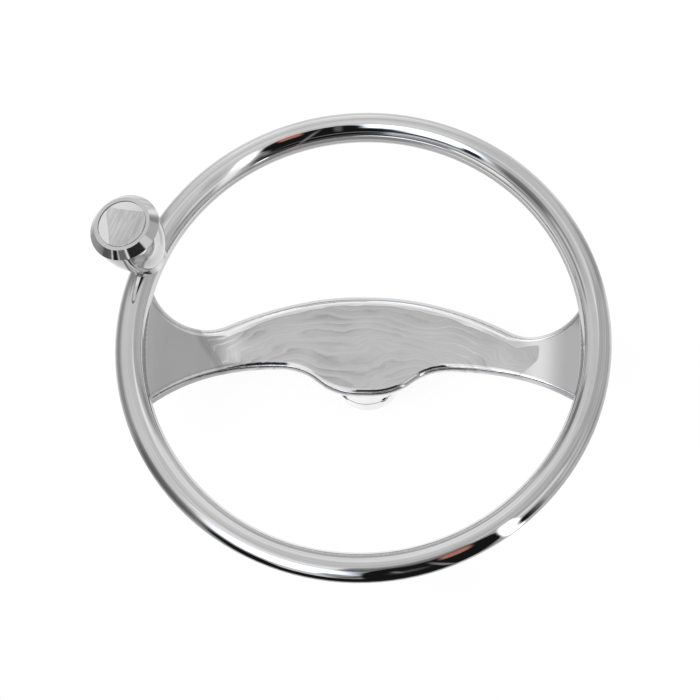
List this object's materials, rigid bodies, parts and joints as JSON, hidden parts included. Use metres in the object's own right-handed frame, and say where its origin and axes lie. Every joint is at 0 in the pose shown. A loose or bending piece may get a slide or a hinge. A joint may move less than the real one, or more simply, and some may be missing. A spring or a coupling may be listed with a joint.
{
  "type": "boat steering wheel",
  "caption": "Polished stainless steel boat steering wheel: round tubular rim, broad gull-wing cast spokes, keyed hub boss below and a free-turning control knob on the rim.",
  "frame": {"origin": "centre of the shaft bore's mouth, on the end face of the hub boss", "axes": "+Z along the helm shaft's axis from the boss towards the driver, +X along the right-hand spoke, +Y up in the plane of the rim"},
  "size_m": [0.4128, 0.394, 0.1517],
  "materials": {
    "rim_tube": "mirror-polished stainless steel tube",
    "spoke_casting": "hand-polished cast stainless steel",
    "hub_boss": "polished turned stainless steel",
    "hub_weld": "polished weld metal",
    "grub_screws": "plain stainless steel",
    "knob_foot": "polished turned stainless steel",
    "knob_spindle": "turned stainless steel",
    "thrust_washer": "natural acetal",
    "head_washer": "stamped stainless steel",
    "spring_washer": "stainless spring steel",
    "retaining_nut": "stainless steel",
    "lower_bush": "bearing bronze",
    "upper_bush": "bearing bronze",
    "knob_core": "moulded plastic",
    "knob_bell": "spun and polished stainless steel",
    "knob_bezel": "polished turned stainless steel",
    "knob_cap": "hand-polished stainless steel"
  },
  "bodies": {
    "wheel": {"rim_tube": "rim_tube", "spoke_casting": "spoke_casting", "hub_boss": "hub_boss", "hub_weld": "hub_weld", "grub_screws": "grub_screws", "knob_foot": "knob_foot", "knob_spindle": "knob_spindle", "thrust_washer": "thrust_washer", "head_washer": "head_washer", "spring_washer": "spring_washer", "retaining_nut": "retaining_nut"},
    "knob": {"lower_bush": "lower_bush", "upper_bush": "upper_bush", "knob_core": "knob_core", "knob_bell": "knob_bell", "knob_bezel": "knob_bezel", "knob_cap": "knob_cap"}
  },
  "joints": [
    {"name": "knob_spin", "type": "hinge", "parent": "wheel", "child": "knob", "pos_m": [-0.17177, 0.0687, 0.079], "axis": [-0.2637, 0.1055, 0.9588], "continuous": true}
  ]
}
